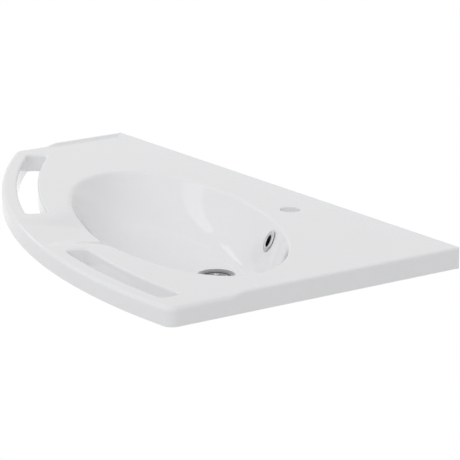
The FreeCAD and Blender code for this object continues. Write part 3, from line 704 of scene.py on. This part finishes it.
def dip_points(loops):
    """Extra plan points where the deck is sunk."""
    (l0, _), (_, r1) = slot_angles()
    mid = polar(FRONT_RADIUS - DIP_MIDDLE, (l0 + r1) / 2)
    x, y = (np.arange(m - reach, m + reach, DIP_GRID) for m, reach in zip(mid, DIP_REACH))
    gx, gy = np.meshgrid(x, y)
    gx[1::2] += DIP_GRID / 2
    plan = np.column_stack([gx.ravel(), gy.ravel()])
    plan = plan[dip_height(plan[:, 0], plan[:, 1]) < 2 * DIP_SOFT]
    keep = inside(plan, loops[0])
    for loop in loops[1:]:
        keep &= ~inside(plan, loop)
    plan = plan[keep]
    edge = np.concatenate(loops)
    gap = np.array([np.min(np.hypot(*(edge - p).T)) for p in plan])
    return plan[gap > DIP_GRID_GAP]


def off_bore(p):
    """Distance from the overflow's axis and place along it, with the direction away from the axis."""
    axis = np.array(OVERFLOW_AXIS)
    d = np.asarray(p) - np.array(OVERFLOW_AT)
    along = d @ axis
    away = d - along * axis
    reach = np.linalg.norm(away)
    return reach, along, away / max(reach, 1e-9)


def bored(p):
    """Whether a point of the bowl's walls is taken away by the overflow hole."""
    reach, along, _ = off_bore(p)
    return reach < OVERFLOW_HOLE / 2 + BORE_MARGIN and abs(along) < BORE_LENGTH


def line_bore(bm):
    """Joins the overflow's two openings in the bowl's faces by the wall of its hole."""
    rim = []
    for edge in bm.edges:
        reach, along, _ = off_bore(sum((v.co for v in edge.verts), Vector()) / 2 / MM)
        if edge.is_boundary and reach < BORE_NEAR and abs(along) < BORE_LENGTH:
            rim.append(edge)
    for vert in {v for edge in rim for v in edge.verts}:
        reach, _, away = off_bore(vert.co / MM)
        vert.co += Vector(away * (OVERFLOW_HOLE / 2 - reach) * MM)
    bmesh.ops.bridge_loops(bm, edges=rim)


def basin_shell(material):
    """The casting, closed all round, with its top and its hollow underside."""
    sheet = Sheet()
    band = np.array(band_rows())
    top = band[-1][:, :2]
    band[BAND_SUNK_FROM:] = sunk(band[BAND_SUNK_FROM:])
    sheet.grid(band)
    slots = slot_angles()
    rows = bowl_rows()
    tap = tap_circle(TAP_EASE[0][0])
    loops = [top] + [slot_loop(a0, a1, SLOT_TOP_ROUND) for a0, a1 in slots]
    loops += [rows[0][:, :2], tap]

    def on_deck(plan):
        return sunk(lifted(plan, 0.0))

    sheet.fill(loops, on_deck, inner=dip_points(loops))
    sheet.grid(rows, flip=True, skip=bored)
    sheet.grid(shell_rows(), skip=bored)
    for a0, a1 in slots:
        slot_wall(sheet, a0, a1)
    tap_wall(sheet)
    underside(sheet, band[0][:, :2], slots)
    wall_plate(sheet)
    obj = sheet.build("basin_shell", material, finish=line_bore)
    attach(obj, "root")
    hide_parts("basin_body")


def slot_wall(sheet, a0, a1):
    """Wall of a hand slot, rounded at the top and at the bottom."""
    rows = []
    r = SLOT_TOP_ROUND
    for q in np.linspace(0, math.pi / 2, 9):
        rows.append(lifted(slot_loop(a0, a1, r * (1 - math.sin(q))), -r * (1 - math.cos(q))))
    low = -EDGE_HEIGHT + SLOT_LOW_ROUND
    for t in (0.25, 0.5, 0.75):
        rows.append(lifted(slot_loop(a0, a1, 0.0), -r + (low + r) * t))
    for q in np.linspace(0, math.pi / 2, 5):
        grow = SLOT_LOW_ROUND * (1 - math.cos(q))
        rows.append(lifted(slot_loop(a0, a1, grow), low - SLOT_LOW_ROUND * math.sin(q)))
    sheet.grid(rows, flip=True)


def tap_circle(grow):
    """Edge of the tap hole, grown outwards."""
    return circle(0.0, -TAP_FROM_WALL, TAP_HOLE / 2 + grow, TAP_COLUMNS)


def tap_wall(sheet):
    """Wall of the tap hole with its eased edge."""
    sheet.grid([lifted(tap_circle(grow), z) for grow, z in TAP_EASE], flip=True)


def underside(sheet, rim, slots):
    """Flat lower edge, the hollow inside the skirt and the deck's underside."""
    r = SLOT_LOW_ROUND
    corners = (CORNER_RIGHT, CORNER_RIGHT, CORNER_LEFT, CORNER_LEFT)

    def hollow(grow):
        return outline(grow, (X_LEFT + SKIRT, X_RIGHT - SKIRT), -BACK_SKIRT,
                       FRONT_RADIUS - GRIP_WIDTH - SLOT_WIDTH - SLOT_WALL, corners)

    rows = []
    for q in np.linspace(0, math.pi / 2, 5):
        rows.append(lifted(hollow(-r * (1 - math.sin(q))), -EDGE_HEIGHT + r * (1 - math.cos(q))))
    soft = HOLLOW_ROUND
    for q in np.linspace(0, math.pi / 2, 7):
        rows.append(lifted(hollow(soft * (1 - math.cos(q))), -DECK_THICK - soft * (1 - math.sin(q))))
    sheet.grid(rows)
    low = [rim] + [slot_loop(a0, a1, r) for a0, a1 in slots] + [rows[0][:, :2]]
    sheet.fill(low, level(-EDGE_HEIGHT), flip=True)
    high = [rows[-1][:, :2], shell_rows()[0][:, :2], tap_circle(0.0)]
    sheet.fill(high, level(-DECK_THICK), flip=True)


def upright(y):
    """Turns flat (x, z) points into space points at one y."""
    return lambda flat: np.column_stack([flat[:, 0], np.full(len(flat), y), flat[:, 1]])


def plate_path(d):
    """Outline of the wall plate, moved inwards by d, as flat (x, z) points."""
    w = APRON_WIDTH / 2
    c = APRON_CORNER
    r = c - d
    z = -APRON_HEIGHT + c
    left = [(-w + d, -EDGE_HEIGHT), (-w + d, APRON_SPLIT)]
    right = [(w - d, APRON_SPLIT), (w - d, -EDGE_HEIGHT)]
    arcs = []
    for x, start in ((-w + c, math.pi), (w - c, 1.5 * math.pi)):
        for q in np.linspace(start, start + math.pi / 2, 10):
            arcs.append((x + r * math.cos(q), z + r * math.sin(q)))
    return np.array(left + arcs + right)


def wall_plate(sheet):
    """Rear plate below the deck with its two bolt holes, and the ribs beside them."""
    steps = [(0.0, 0.0), (0.0, -BACK_SKIRT / 2)]
    for q in np.linspace(0, math.pi / 2, 5):
        steps.append((APRON_EASE * (1 - math.cos(q)), -BACK_SKIRT + APRON_EASE * (1 - math.sin(q))))
    sheet.grid([upright(y)(plate_path(d)) for d, y in steps], flip=True)
    holes = [circle(side * FIXING_SPACING / 2, -FIXING_BELOW, FIXING_HOLE / 2, FIXING_COLUMNS)
             for side in (-1, 1)]
    for hole in holes:
        sheet.grid([upright(y)(hole) for y in (0.0, -BACK_SKIRT)])
    for d, y, flip in ((0.0, 0.0, True), (APRON_EASE, -BACK_SKIRT, False)):
        sheet.fill([plate_path(d)] + holes, upright(y), flip=flip)
    for side in (-1, 1):
        for step in (-RIB_FROM_FIXING, RIB_FROM_FIXING):
            rib(sheet, side * FIXING_SPACING / 2 + step)


def rib(sheet, x):
    """Triangular rib with eased edges between the deck's underside and the plate."""
    top, low = -DECK_THICK + SINK, -APRON_HEIGHT + APRON_CORNER
    back, front = -BACK_SKIRT + SINK, -BACK_SKIRT - RIB_REACH
    e = RIB_EASE
    half = RIB_THICK / 2
    sides = []
    for across, grow in ((e - half, e), (-half, 0.0), (half, 0.0), (half - e, e)):
        tri = [(back, top), (front - grow, top), (back, low - grow)]
        sides.append([(x + across, y, z) for y, z in tri])
    faces = [[0, 1, 2], [11, 10, 9]]
    for i in range(3):
        a, b = i * 3, (i + 1) * 3
        faces += [[a + j, b + j, b + (j + 1) % 3, a + (j + 1) % 3] for j in range(3)]
    sheet.add(sides, faces)


# ---- turned pieces ----

def turned(profile, columns, place):
    """Sheet rows of a turned piece from (radius, height) points; place moves local points."""
    rows = []
    q = between(0, 2 * math.pi, columns)
    for r, z in profile:
        rows.append(place(np.column_stack([r * np.cos(q), r * np.sin(q), np.full(columns, z)])))
    return np.array(rows)


def rounded(points, radius, steps=5):
    """A (radius, height) outline with each corner between its two ends rounded."""
    pts = [np.array(p, float) for p in points]
    out = [pts[0]]
    for a, b, c in zip(pts, pts[1:], pts[2:]):
        r = min(radius, np.linalg.norm(a - b) * ROUND_SHARE, np.linalg.norm(c - b) * ROUND_SHARE)
        start = b + (a - b) / np.linalg.norm(a - b) * r
        end = b + (c - b) / np.linalg.norm(c - b) * r
        for t in np.linspace(0, 1, steps):
            out.append(start * (1 - t) ** 2 + b * 2 * t * (1 - t) + end * t * t)
    return out + [pts[-1]]


def overflow_trim(material):
    """Ring with its sleeve, turned about the overflow's axis."""
    axis = np.array(OVERFLOW_AXIS)
    at = np.array(OVERFLOW_AT) + axis * RING_SEAT
    turn = np.array(Vector(axis).to_track_quat("Z", "Y").to_matrix())

    def place(p):
        return p @ turn.T + at

    out, sleeve, bore = RING / 2, RING_SLEEVE / 2, RING_BORE / 2
    low, high = -RING_REACH, RING_THICK
    (inner, inner_down), (outer, outer_down) = RING_EASE
    top = [(bore, high - inner_down), (bore + inner, high), (out - outer, high), (out, high - outer_down)]
    profile = [(bore, low)] + top + [(out, 0.0), (sleeve, 0.0), (sleeve, low), (bore, low)]
    sheet = Sheet()
    sheet.grid(turned(rounded(profile, RING_ROUND), RING_COLUMNS, place), flip=True)
    obj = sheet.build("overflow_trim", material, angle=40)
    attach(obj, "root")
    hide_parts("overflow_ring")


def waste_place(p):
    """Moves points from the waste's axis to its place."""
    return p + np.array([0.0, -WASTE_FROM_WALL, 0.0])


def waste_grid(material, painted_dark):
    """Flange, dish and pierced floor of the waste, with its tube; all inside the bright edge takes a darker
    chrome that paints shade and a dark reflection.
    """
    low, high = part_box("waste_strainer")
    out, tube, bore = FLANGE / 2, TUBE / 2, TUBE_BORE / 2
    seat, end = high[2] / MM, low[2] / MM
    dish = seat - DISH_DEPTH
    under = dish - DISH_FLOOR
    up = dish + SCREW_SEAT_UP
    rim, foot = DISH / 2, SCREW_BOSS / 2
    ledge = bore - TUBE_LEDGE
    flat = seat - FLANGE_THICK
    slope = [(out - step, seat - down) for step, down in FLANGE_STEPS]
    slope += [(rim + DISH_FOOT[0], dish + DISH_FOOT[1]), (rim, dish)]
    outside = rounded([(tube, end), (tube, flat), (out, flat)] + slope, FLANGE_ROUND)
    inside_tube = rounded([(tube, end), (bore, end), (bore, under), (ledge, under)], TUBE_ROUND)
    centre = rounded([(foot, dish), (SCREW_SEAT / 2, up), (SCREW_BORE / 2, up), (SCREW_BORE / 2, under)],
                     SCREW_BOSS_ROUND)
    sheet = Sheet()
    sheet.grid(turned(outside, WASTE_COLUMNS, waste_place))
    sheet.grid(turned(inside_tube, WASTE_COLUMNS, waste_place), flip=True)
    sheet.grid(turned(centre, WASTE_COLUMNS, waste_place))
    holes = []
    for q in between(math.pi / HOLES, 2 * math.pi + math.pi / HOLES, HOLES):
        holes.append(circle(HOLE_AT * math.cos(q), HOLE_AT * math.sin(q), HOLE / 2, HOLE_COLUMNS))
    for edges, z, flip in (((rim, foot), dish, False), ((ledge, SCREW_BORE / 2), under, True)):
        loops = [circle(0, 0, r, WASTE_COLUMNS) for r in edges] + holes
        sheet.fill(loops, lambda p, z=z: waste_place(lifted(p, z)), flip=flip)
    for hole in holes:
        sheet.grid([waste_place(lifted(hole, z)) for z in (dish, under)], flip=True)
    obj = sheet.build("waste_grid", material, angle=40)
    obj.data.materials.append(painted_dark)
    # Faces inside the bright edge take the darker chrome: painted shade and a painted dark reflection in
    # the recessed dish.
    for face in obj.data.polygons:
        x, y, _ = face.center / MM
        if math.hypot(x, y + WASTE_FROM_WALL) < out - BRIGHT_EDGE:
            face.material_index = 1
    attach(obj, "root")
    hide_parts("waste_strainer")


def waste_bolt(material):
    """Slotted screw: a turned shank and domed head, with the slot sunk into the head."""
    low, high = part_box("waste_screw")
    tip, top = low[2] / MM, high[2] / MM
    head = top - SCREW_HEAD_THICK
    rim = head + SCREW_RIM
    r, shank = SCREW_HEAD / 2, SCREW_SHANK / 2
    turn = math.radians(SCREW_TURN)
    ease, ease_up = SCREW_TIP_EASE
    share, down = SCREW_SHOULDER
    profile = rounded([(0.0, tip), (shank - ease, tip), (shank, tip + ease_up), (shank, head), (r, head),
                       (r, rim), (r * share, top - down), (0.0, top)], SCREW_ROUND)
    profile = [p for p in profile if p[1] <= rim]
    for out in np.linspace(r * SCREW_DOME, 0.0, DOME_ROWS):
        profile.append(np.array([out, rim + (top - rim) * math.sqrt(1 - (out / r) ** 2)]))
    rows = turned(profile, SCREW_COLUMNS, lambda p: p)
    across = rows[..., 0] * -math.sin(turn) + rows[..., 1] * math.cos(turn)
    groove = smooth((SCREW_SLOT - np.abs(across)) / SCREW_SLOT_SOFT)
    deep = head + SCREW_SLOT_FLOOR
    z = rows[..., 2]
    rows[..., 2] = np.where(z > deep, z + (deep - z) * groove, z)
    sheet = Sheet()
    sheet.grid(waste_place(rows))
    obj = sheet.build("waste_bolt", material, angle=40)
    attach(obj, "root")
    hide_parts("waste_screw")


# ---- materials ----

def nodes_of(name):
    """New material with its node tree and shader."""
    mat = bpy.data.materials.new(name)
    mat.use_nodes = True
    tree = mat.node_tree
    return mat, tree, tree.nodes["Principled BSDF"]


def add(tree, kind, **values):
    """New node; a value sets the property of that name, or else the input."""
    node = tree.nodes.new(kind)
    for key, value in values.items():
        if hasattr(node, key):
            setattr(node, key, value)
        else:
            node.inputs[key.replace("_", " ")].default_value = value
    return node


def grainy(name, colour, dark, scale, rough, rough_span, bump, distance=0.0002, metal=0.0, spec=0.5):
    """Principled material whose colour, roughness and surface vary with fine noise."""
    mat, tree, bsdf = nodes_of(name)
    bsdf.inputs["Metallic"].default_value = metal
    bsdf.inputs["Specular IOR Level"].default_value = spec
    place = add(tree, "ShaderNodeTexCoord")
    noise = add(tree, "ShaderNodeTexNoise", Scale=scale, Detail=4.0, Roughness=0.55)
    tree.links.new(place.outputs["Object"], noise.inputs["Vector"])
    ramp = add(tree, "ShaderNodeValToRGB")
    ramp.color_ramp.elements[0].position = 0.3
    ramp.color_ramp.elements[1].position = 0.7
    ramp.color_ramp.elements[0].color = (*dark, 1)
    ramp.color_ramp.elements[1].color = (*colour, 1)
    tree.links.new(noise.outputs["Fac"], ramp.inputs["Fac"])
    tree.links.new(ramp.outputs["Color"], bsdf.inputs["Base Color"])
    span = add(tree, "ShaderNodeMapRange")
    span.inputs["To Min"].default_value = rough - rough_span
    span.inputs["To Max"].default_value = rough + rough_span
    tree.links.new(noise.outputs["Fac"], span.inputs["Value"])
    tree.links.new(span.outputs["Result"], bsdf.inputs["Roughness"])
    raise_up = add(tree, "ShaderNodeBump", Strength=bump, Distance=distance)
    tree.links.new(noise.outputs["Fac"], raise_up.inputs["Height"])
    tree.links.new(raise_up.outputs["Normal"], bsdf.inputs["Normal"])
    return mat


def finishes():
    """One material for each slot of the record, and a darker chrome that paints shade and a dark reflection
    inside the waste's dish.
    """
    return {
        "basin": grainy("gel_coat", (0.95, 0.95, 0.955), (0.940, 0.942, 0.947), scale=9.0,
                        rough=0.06, rough_span=0.012, bump=0.01, distance=0.0003, spec=0.2),
        "chrome": grainy("polished_chrome", (0.62, 0.63, 0.64), (0.58, 0.59, 0.60), scale=220.0,
                         rough=0.09, rough_span=0.03, bump=0.04, metal=1.0),
        # Darker chrome for the waste's dish: its colour paints the shade and a dark reflection there.
        "painted_dark_chrome": grainy("painted_dark_chrome", (0.29, 0.295, 0.30), (0.26, 0.265, 0.27), scale=300.0,
                              rough=0.28, rough_span=0.05, bump=0.06, metal=1.0),
        "rubber": grainy("seal_rubber", (0.05, 0.05, 0.055), (0.035, 0.035, 0.04), scale=400.0,
                         rough=0.7, rough_span=0.08, bump=0.2),
        "white_plastic": grainy("moulded_white", (0.74, 0.75, 0.74), (0.70, 0.71, 0.70), scale=300.0,
                                rough=0.32, rough_span=0.04, bump=0.06),
        "grey_plastic": grainy("moulded_grey", (0.35, 0.36, 0.37), (0.30, 0.31, 0.32), scale=500.0,
                               rough=0.5, rough_span=0.05, bump=0.15),
        "brass": grainy("turned_brass", (0.72, 0.56, 0.28), (0.62, 0.46, 0.20), scale=260.0,
                        rough=0.28, rough_span=0.06, bump=0.1, metal=1.0),
    }


def dress_nodes(looks):
    """Carried-over CAD nodes take the finish of their material slot."""
    for part in frame["record"]["subparts"]:
        node = frame["nodes"][part["node"]]
        node.data.materials.clear()
        node.data.materials.append(looks[part["material_slot"]])


# ---- stage, light and camera ----

def pale_floor():
    """Plain floor that takes light and shadow, and is white to camera, mirror and glass rays."""
    mesh = bpy.data.meshes.new("floor")
    signs = ((-1, -1), (1, -1), (1, 1), (-1, 1))
    corners = [(x * STAGE_HALF, y * STAGE_HALF, STAGE_HEIGHT) for x, y in signs]
    mesh.from_pydata(corners, [], [(0, 1, 2, 3)])
    floor = bpy.data.objects.new("floor", mesh)
    bpy.context.scene.collection.objects.link(floor)
    mat, tree, bsdf = nodes_of("pale_floor")
    bsdf.inputs["Base Color"].default_value = STAGE_TINT
    bsdf.inputs["Roughness"].default_value = STAGE_ROUGH
    shine = add(tree, "ShaderNodeEmission", Strength=1.0)
    mix = add(tree, "ShaderNodeMixShader")
    tree.links.new(seen_ray(tree), mix.inputs["Fac"])
    tree.links.new(bsdf.outputs["BSDF"], mix.inputs[1])
    tree.links.new(shine.outputs["Emission"], mix.inputs[2])
    tree.links.new(mix.outputs["Shader"], tree.nodes["Material Output"].inputs["Surface"])
    mesh.materials.append(mat)


def studio_world():
    """Sky that is brightest in one direction, and white behind the object."""
    world = bpy.data.worlds.new("studio")
    bpy.context.scene.world = world
    world.use_nodes = True
    tree = world.node_tree
    back = tree.nodes["Background"]
    back.inputs["Color"].default_value = SKY_TINT
    place = add(tree, "ShaderNodeTexCoord")
    facing = add(tree, "ShaderNodeVectorMath", operation="DOT_PRODUCT")
    facing.inputs[1].default_value = Vector(SKY_TOWARDS).normalized()
    tree.links.new(place.outputs["Generated"], facing.inputs[0])
    sky = add(tree, "ShaderNodeMapRange", interpolation_type="SMOOTHSTEP")
    for socket, value in zip(("From Min", "From Max", "To Min", "To Max"), SKY_SPAN + SKY_LIGHT):
        sky.inputs[socket].default_value = value
    tree.links.new(facing.outputs["Value"], sky.inputs["Value"])
    tree.links.new(sky.outputs["Result"], back.inputs["Strength"])
    white = add(tree, "ShaderNodeBackground")
    white.inputs["Color"].default_value = (1, 1, 1, 1)
    white.inputs["Strength"].default_value = 1.0
    mix = add(tree, "ShaderNodeMixShader")
    tree.links.new(seen_ray(tree), mix.inputs["Fac"])
    tree.links.new(back.outputs["Background"], mix.inputs[1])
    tree.links.new(white.outputs["Background"], mix.inputs[2])
    tree.links.new(mix.outputs["Shader"], tree.nodes["World Output"].inputs["Surface"])


def seen_ray(tree):
    """One where a camera, mirror or glass ray meets the background."""
    path = add(tree, "ShaderNodeLightPath")
    seen = path.outputs["Is Camera Ray"]
    for kind in ("Is Glossy Ray", "Is Transmission Ray"):
        either = add(tree, "ShaderNodeMath", operation="MAXIMUM")
        tree.links.new(seen, either.inputs[0])
        tree.links.new(path.outputs[kind], either.inputs[1])
        seen = either.outputs["Value"]
    return seen


def lamps():
    """Two soft boxes on the left, which leave the streaks in the bowl."""
    for name, place, size, power in LAMPS:
        light = bpy.data.lights.new(name, "AREA")
        light.shape = "RECTANGLE"
        light.size, light.size_y = size
        light.energy = power
        obj = bpy.data.objects.new(name, light)
        obj.location = place
        obj.rotation_mode = "QUATERNION"
        obj.rotation_quaternion = (-Vector(place)).to_track_quat("-Z", "Y")
        bpy.context.scene.collection.objects.link(obj)


def camera():
    """View of the photo."""
    azimuth, elevation = math.radians(CAMERA_AZIMUTH), math.radians(CAMERA_ELEVATION)
    back = Vector((math.sin(azimuth) * math.cos(elevation), -math.cos(azimuth) * math.cos(elevation),
                   math.sin(elevation)))
    data = bpy.data.cameras.new("photo_view")
    data.sensor_width = CAMERA_SENSOR
    data.lens = CAMERA_LENS
    data.clip_start, data.clip_end = CAMERA_CLIP
    obj = bpy.data.objects.new("photo_view", data)
    obj.location = CAMERA_AT
    obj.rotation_mode = "QUATERNION"
    obj.rotation_quaternion = (-back).to_track_quat("-Z", "Y")
    bpy.context.scene.collection.objects.link(obj)
    bpy.context.scene.camera = obj


looks = finishes()
dress_nodes(looks)
basin_shell(looks["basin"])
overflow_trim(looks["chrome"])
waste_grid(looks["chrome"], looks["painted_dark_chrome"])
waste_bolt(looks["chrome"])
pale_floor()
studio_world()
lamps()
camera()
bpy.context.scene.view_settings.view_transform = "Standard"
